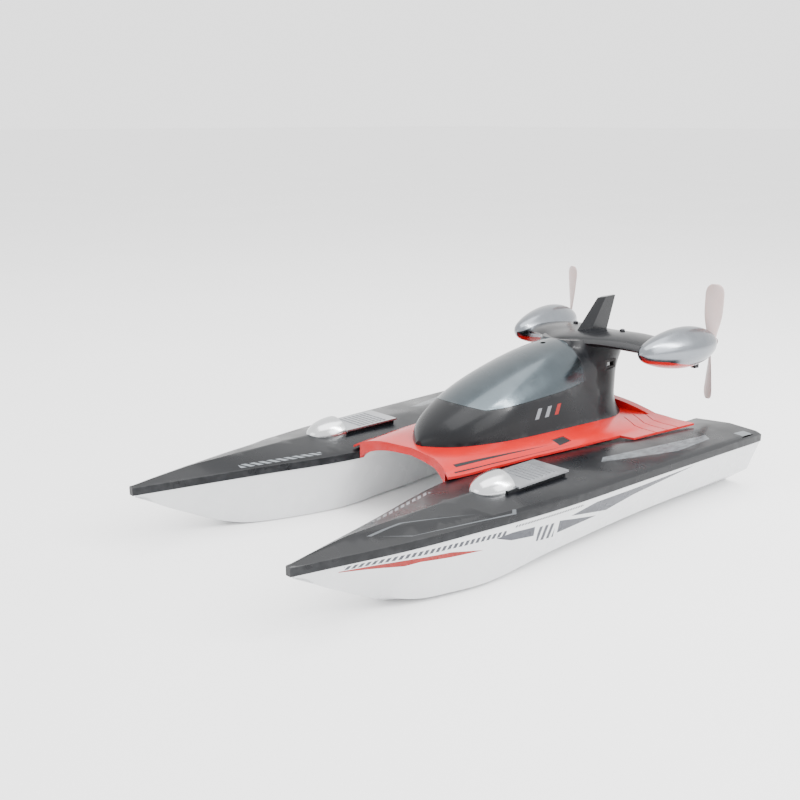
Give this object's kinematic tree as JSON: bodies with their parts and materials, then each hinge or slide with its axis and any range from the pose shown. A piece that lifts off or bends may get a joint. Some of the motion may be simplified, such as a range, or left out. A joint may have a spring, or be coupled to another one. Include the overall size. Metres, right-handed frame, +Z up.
{
  "type": "radio controlled boat",
  "caption": "Twin-hull model boat with a raised cabin under a tip-up canopy, and an arched wing that carries pusher airscrews in pods.",
  "frame": {"origin": "middle of the footprint, on the surface the boat stands on", "axes": "-Y towards the bows, +X to port, +Z up"},
  "size_m": [0.324, 0.5451, 0.1855],
  "materials": {
    "white_abs": "gloss",
    "black_abs": "satin",
    "red_abs": "gloss",
    "silver_paint": "metallic",
    "lamp_silver": "bright",
    "pale_prop": "translucent",
    "dark_trim": "matte",
    "steel": "bare",
    "motor_steel": "plated",
    "led_white": "clear",
    "battery_wrap": "shrink wrap",
    "circuit_board": "solder mask"
  },
  "bodies": {
    "boat": {"battery_pack": "battery_wrap", "battery_plug": "white_abs", "battery_tray": "dark_trim", "board_posts": "black_abs", "bridge_cover": "red_abs", "bridge_frame": "white_abs", "cabin_shell": "black_abs", "canopy_post": "black_abs", "fin": "black_abs", "port_bridge_plug": "dark_trim", "port_deck": "black_abs", "port_hull": "white_abs", "port_lamp_dome": "lamp_silver", "port_lamp_led": "led_white", "port_lamp_plate": "lamp_silver", "port_motor_can": "motor_steel", "port_motor_mount": "dark_trim", "port_nacelle_lower": "silver_paint", "port_nacelle_scoop": "red_abs", "port_nacelle_tab": "dark_trim", "port_nacelle_upper": "silver_paint", "power_switch": "dark_trim", "receiver_board": "circuit_board", "starboard_bridge_plug": "dark_trim", "starboard_deck": "black_abs", "starboard_hull": "white_abs", "starboard_lamp_dome": "lamp_silver", "starboard_lamp_led": "led_white", "starboard_lamp_plate": "lamp_silver", "starboard_motor_can": "motor_steel", "starboard_motor_mount": "dark_trim", "starboard_nacelle_lower": "silver_paint", "starboard_nacelle_scoop": "red_abs", "starboard_nacelle_tab": "dark_trim", "starboard_nacelle_upper": "silver_paint", "wing_lower": "black_abs", "wing_upper": "black_abs", "wing_screws": "steel"},
    "canopy": {"canopy": "silver_paint", "canopy_screw": "steel"},
    "switch": {"switch_slider": "dark_trim"},
    "port_airscrew": {"port_propeller": "pale_prop", "port_prop_nut": "dark_trim", "port_motor_shaft": "steel", "port_motor_rotor": "motor_steel"},
    "starboard_airscrew": {"starboard_propeller": "pale_prop", "starboard_prop_nut": "dark_trim", "starboard_motor_shaft": "steel", "starboard_motor_rotor": "motor_steel"}
  },
  "joints": [
    {"name": "port_airscrew_spin", "type": "hinge", "parent": "boat", "child": "port_airscrew", "pos_m": [0.088, 0.2645, 0.128], "axis": [0.1132, 0.9936, 0], "continuous": true},
    {"name": "starboard_airscrew_spin", "type": "hinge", "parent": "boat", "child": "starboard_airscrew", "pos_m": [-0.088, 0.2645, 0.128], "axis": [-0.1132, 0.9936, 0], "continuous": true},
    {"name": "canopy_open", "type": "hinge", "parent": "boat", "child": "canopy", "pos_m": [0, -0.015, 0.1], "axis": [1, 0, 0], "range_deg": [0, 65]},
    {"name": "switch_slide", "type": "slide", "parent": "boat", "child": "switch", "axis": [0, 1, 0], "range_m": [0, 0.004]}
  ]
}
